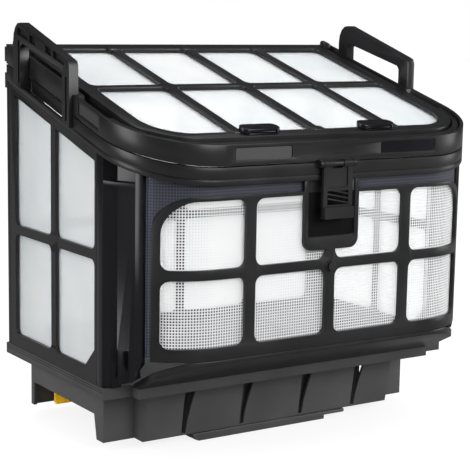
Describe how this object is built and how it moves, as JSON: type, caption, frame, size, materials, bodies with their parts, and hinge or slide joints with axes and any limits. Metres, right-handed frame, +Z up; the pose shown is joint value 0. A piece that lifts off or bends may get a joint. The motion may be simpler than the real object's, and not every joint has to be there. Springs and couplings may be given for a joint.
{
  "type": "pool cleaner filter basket",
  "caption": "Lift-out filter basket of a robotic pool cleaner: sloped hinged lid with filter windows, framed cloth sides, front net, latch, two handles, inlet duct with hanging flap.",
  "frame": {"origin": "centre of the basket's width, at the underside of the inlet collar it rests on; front to rear it lies midway between the ring's front and rear faces to within 2 mm", "axes": "+Z up out of the lid, -Y towards the front with the latch, +X to the right-hand handle as seen from the front (width)"},
  "size_m": [0.3054, 0.2221, 0.2975],
  "materials": {
    "black_plastic": "satin",
    "smoky_plastic": "gloss",
    "filter_cloth": "matt",
    "coarse_net": "matt",
    "yellow_plastic": "satin",
    "steel": "satin"
  },
  "bodies": {
    "basket_body": {"base_screw_front_left": "steel", "base_screw_front_right": "steel", "base_screw_rear_left": "steel", "base_screw_rear_right": "steel", "base_skirt": "black_plastic", "base_tray": "black_plastic", "body_ring": "black_plastic", "corner_column_left": "smoky_plastic", "corner_column_right": "smoky_plastic", "flap_pin": "steel", "front_apron": "black_plastic", "front_frame": "black_plastic", "front_net": "coarse_net", "front_screw": "steel", "handle_left": "black_plastic", "handle_right": "black_plastic", "hinge_pin_left": "steel", "hinge_pin_right": "steel", "inlet_duct": "black_plastic", "net_backing": "black_plastic", "rear_cloth": "filter_cloth", "rear_panel": "black_plastic", "side_cloth_left": "filter_cloth", "side_cloth_right": "filter_cloth", "side_panel_left": "black_plastic", "side_panel_right": "black_plastic"},
    "lid": {"lid_ring": "black_plastic", "lid_grid": "black_plastic", "lid_cloth": "filter_cloth", "lid_clip_left": "smoky_plastic", "lid_clip_right": "smoky_plastic", "latch_pin": "steel", "latch_spring": "steel"},
    "front_latch": {"latch": "black_plastic"},
    "flap": {"inlet_flap": "yellow_plastic"}
  },
  "joints": [
    {"name": "lid_hinge", "type": "hinge", "parent": "basket_body", "child": "lid", "pos_m": [0, 0.1064, 0.2643], "axis": [-1, 0, 0], "range_deg": [0, 100]},
    {"name": "latch_pivot", "type": "hinge", "parent": "lid", "child": "front_latch", "pos_m": [0, -0.1086, 0.207], "axis": [-1, 0, 0], "range_deg": [0, 25], "stiffness_Nm_per_rad": 0.02},
    {"name": "flap_hinge", "type": "hinge", "parent": "basket_body", "child": "flap", "pos_m": [0, 0.0885, 0.0396], "axis": [-1, 0, 0], "range_deg": [0, 45]}
  ]
}
